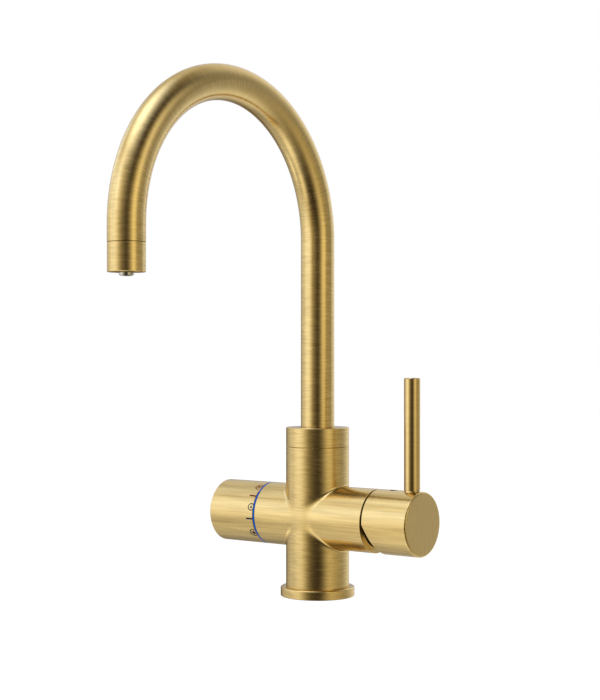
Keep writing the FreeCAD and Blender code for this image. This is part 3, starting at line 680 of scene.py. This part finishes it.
# %% [markdown]
# The steel nozzle in the outlet is the tap's only mirror. In the photograph its rounded rim
# shows the same black middle as its side. A true rim would mirror the floor of the tent, so
# its shading normal is levelled, and the round outline stays.

# %% The nozzle's steel
MIRROR_STEEL = (0.52, 0.48, 0.40)
MIRROR_ROUGHNESS = 0.04
RIM_FLATTENING = 0.2


def nozzle_steel():
    """Mirror steel whose rounded rim mirrors nearly what the side above it does."""
    finish = Finish("mirror_steel")
    levelled = finish.scaled((1, 1, RIM_FLATTENING), finish.skin_normal())
    shader = finish.node(
        "ShaderNodeBsdfPrincipled",
        {
            "Base Color": MIRROR_STEEL,
            "Metallic": 1.0,
            "Roughness": MIRROR_ROUGHNESS,
            "Normal": finish.unit(levelled),
        },
    )
    return finish.surface(shader)


print("the nozzle's steel is", MIRROR_STEEL)

# %% [markdown]
# Four small pieces look unlike the rest of their kind. The nut in the gap beside the handle is
# painted nearly black, as painted shade for that narrow gap. The handle's set screw is blackened,
# the nozzle is mirror steel, and the plug over the screw is a duller black. Every other piece has
# its brushed brass, or else the finish of the material slot that the CAD gives it.

# %% Giving out the finishes
own_finishes = {
    # the nut's near-black brass is painted shade for the narrow gap beside the handle
    "cartridge_nut": grained("brass_painted_dark_as_gap_shade", (0.035, 0.026, 0.014), 0.45, metallic=1.0),
    "handle_set_screw": grained("blackened_steel", (0.012, 0.014, 0.02), 0.5),
    "outlet_nozzle": nozzle_steel(),
    "handle_screw_plug": grained("plug_rubber", (0.006, 0.007, 0.012), 0.9, specular=0.1),
}
for row in frame["record"]["subparts"]:
    node, slot = row["node"], row["material_slot"]
    material = brass_finishes.get(node) or own_finishes.get(node) or slot_finishes[slot]
    nodes[node].data.materials.clear()
    nodes[node].data.materials.append(material)

# %% [markdown]
# ## The printed marks
# Beside the blue ring the selector carries three round pictures and two dashes, printed in
# ink. An image could be laid on the knob, but it would blur close up. So each mark is drawn
# from flat shapes in front of the knob: discs, circle lines, straight bars and a drop.

# %% Flat shapes
LINE = 0.72 * MM
DRAWING_GAP = 1 * MM
DROP_SPREAD = 1.2  # how far the pull at the drop's top is felt, in radii
in_front = -(arm_radius + DRAWING_GAP)
facing_us = (math.radians(90), 0, 0)


def add_disc(radius, x, z=0.0, vertices=40):
    """A flat disc in front of the knob."""
    bpy.ops.mesh.primitive_circle_add(
        vertices=vertices,
        radius=radius,
        fill_type="NGON",
        location=(x, in_front, arm_height + z),
        rotation=facing_us,
    )
    return bpy.context.object


def add_circle_line(radius, x):
    """A disc whose middle is taken out, so that only its rim stays."""
    rim = add_disc(radius, x)
    bpy.ops.object.mode_set(mode="EDIT")
    bpy.ops.mesh.select_all(action="SELECT")
    bpy.ops.mesh.inset(thickness=LINE)
    bpy.ops.mesh.delete(type="FACE")
    bpy.ops.object.mode_set(mode="OBJECT")
    return rim


def add_bar(length, width, x, tilt=0.0):
    """A straight line, tilted in the plane of the drawing."""
    bpy.ops.mesh.primitive_grid_add(
        x_subdivisions=8,
        y_subdivisions=2,
        size=1,
        location=(x, in_front, arm_height),
        rotation=facing_us,
    )
    bar = bpy.context.object
    bar.scale = (length, width, 1)
    bpy.ops.transform.rotate(
        value=math.radians(tilt),
        orient_axis="Y",
        orient_type="GLOBAL",
        center_override=bar.location,
    )
    return bar


def add_drop(radius, x, z):
    """A round dot whose top is drawn out to a point."""
    drop = add_disc(radius, x, z, vertices=24)
    bpy.ops.object.mode_set(mode="EDIT")
    bpy.ops.mesh.select_all(action="DESELECT")
    bpy.ops.object.mode_set(mode="OBJECT")
    top = max(drop.data.vertices, key=lambda vertex: vertex.co.y)
    top.select = True
    bpy.ops.object.mode_set(mode="EDIT")
    bpy.ops.transform.translate(
        value=(0, 0, radius),
        use_proportional_edit=True,
        proportional_edit_falloff="SHARP",
        proportional_size=DROP_SPREAD * radius,
    )
    bpy.ops.object.mode_set(mode="OBJECT")
    return drop


print("lines are", round(LINE / MM, 2), "mm wide")

# %% [markdown]
# The printed pictures end at the blue ring, and they bend round the knob. So the shapes of a
# mark are joined, cut off at the ring, turned to their place round the arm, laid on the brass
# with a Shrinkwrap modifier, and given the thickness of ink. Then the mark rides the selector,
# and turns with it.

# %% Laying a mark on the knob
INK_LIFT = 0.02 * MM
INK_THICKNESS = 0.03 * MM
knob_edge = -45.1 * MM


def join_shapes(shapes):
    """One object from several, with its place in its mesh."""
    bpy.ops.object.select_all(action="DESELECT")
    for shape in shapes:
        shape.select_set(True)
    bpy.context.view_layer.objects.active = shapes[0]
    if len(shapes) > 1:
        bpy.ops.object.join()
    bpy.ops.object.transform_apply(location=True, rotation=True, scale=True)
    return bpy.context.object


def cut_at_ring():
    """Takes away what the active object has past the knob's edge."""
    bpy.ops.object.mode_set(mode="EDIT")
    bpy.ops.mesh.select_all(action="SELECT")
    bpy.ops.mesh.bisect(plane_co=(knob_edge, 0, 0), plane_no=(1, 0, 0), clear_outer=True)
    bpy.ops.object.mode_set(mode="OBJECT")


def turn_round_arm(angle):
    """Turns the active object about the arms' axis."""
    bpy.ops.transform.rotate(
        value=math.radians(angle),
        orient_axis="X",
        orient_type="GLOBAL",
        center_override=(0, 0, arm_height),
    )
    bpy.ops.object.transform_apply(location=True, rotation=True, scale=True)


def lay_on_knob(mark):
    """Wraps a flat mark on to the knob and thickens it."""
    wrap = mark.modifiers.new("wrap", "SHRINKWRAP")
    wrap.target = nodes["selector_knob"]
    wrap.wrap_method = "NEAREST_SURFACEPOINT"
    wrap.wrap_mode = "ABOVE_SURFACE"
    wrap.offset = INK_LIFT
    bpy.ops.object.modifier_apply(modifier="wrap")
    ink_body = mark.modifiers.new("thickness", "SOLIDIFY")
    ink_body.thickness = INK_THICKNESS
    ink_body.offset = 0.0
    bpy.ops.object.modifier_apply(modifier="thickness")


def print_mark(name, shapes, angle, ink):
    """Makes one mark of its flat shapes and prints it on the selector."""
    mark = join_shapes(shapes)
    mark.name = name
    cut_at_ring()
    turn_round_arm(angle)
    lay_on_knob(mark)
    mark.data.materials.clear()
    mark.data.materials.append(ink)
    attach(mark, "selector")
    return mark


print("marks are cut off at x =", round(knob_edge / MM, 1), "mm")

# %% [markdown]
# A glossy ink would mirror the tent and look pale. The photograph shows no shine on the print,
# so the inks are matt.

# %% Inks
inks = {
    "rust": grained("rust_ink", (0.21, 0.020, 0.012), 0.6, specular=0.2),
    "navy": grained("navy_ink", (0.004, 0.010, 0.050), 0.6, specular=0.2),
    "dark": grained("dark_ink", (0.010, 0.009, 0.006), 0.6, specular=0.2),
    "cream": grained("cream_ink", (0.80, 0.70, 0.44), 0.5),
}
print("inks:", sorted(inks))

# %% [markdown]
# From the top down, the selector shows steam for boiling water with a dash, a drop on a cream
# ground for filtered water with a dash, and a star of ice. The steam is three slanted bars, the
# star is three bars through one middle, and each picture has a circle line round it.

# %% The six marks
DASH = (6.6 * MM, 1.3 * MM)  # length and width
DASH_TILT = -3
STEAM_RING = 3.4 * MM
STEAM_BAR = 2.6 * MM
STEAM_SPACING = 1.2 * MM
STEAM_TILT = 70
CREAM_RADIUS = 2.6 * MM
DROP_RING = 3.1 * MM
DROP_RADIUS = 0.85 * MM
DROP_SINK = 0.4 * MM
STAR_RING = 3.8 * MM
STAR_BAR = 5.2 * MM
STAR_TILTS = (15, 75, 135)
steam_x = -47.6 * MM
drop_x = -47.1 * MM
star_x = -47.2 * MM
dash_x = -48.3 * MM
steam_angle = 60
boiling_dash_angle = 37
drop_angle = 15
filtered_dash_angle = -7
star_angle = -36

steam = [add_circle_line(STEAM_RING, steam_x)]
for step in (-1, 0, 1):
    steam.append(add_bar(STEAM_BAR, LINE, steam_x + step * STEAM_SPACING, tilt=STEAM_TILT))
boiling_dash = [add_bar(*DASH, dash_x, tilt=DASH_TILT)]
cream_ground = [add_disc(CREAM_RADIUS, drop_x)]
drop = [add_circle_line(DROP_RING, drop_x), add_drop(DROP_RADIUS, drop_x, -DROP_SINK)]
filtered_dash = [add_bar(*DASH, dash_x)]
star = [add_circle_line(STAR_RING, star_x)]
for tilt in STAR_TILTS:
    star.append(add_bar(STAR_BAR, LINE, star_x, tilt=tilt))

marks = [
    print_mark("mark_boiling", steam, steam_angle, inks["rust"]),
    print_mark("mark_boiling_dash", boiling_dash, boiling_dash_angle, inks["rust"]),
    print_mark("mark_filtered_ground", cream_ground, drop_angle, inks["cream"]),
    print_mark("mark_filtered", drop, drop_angle, inks["dark"]),
    print_mark("mark_filtered_dash", filtered_dash, filtered_dash_angle, inks["navy"]),
    print_mark("mark_chilled", star, star_angle, inks["dark"]),
]
for mark in marks:
    spread = [round(value / MM, 1) for value in (*mark.bound_box[0], *mark.bound_box[6])]
    print(mark.name, len(mark.data.polygons), "faces", spread)
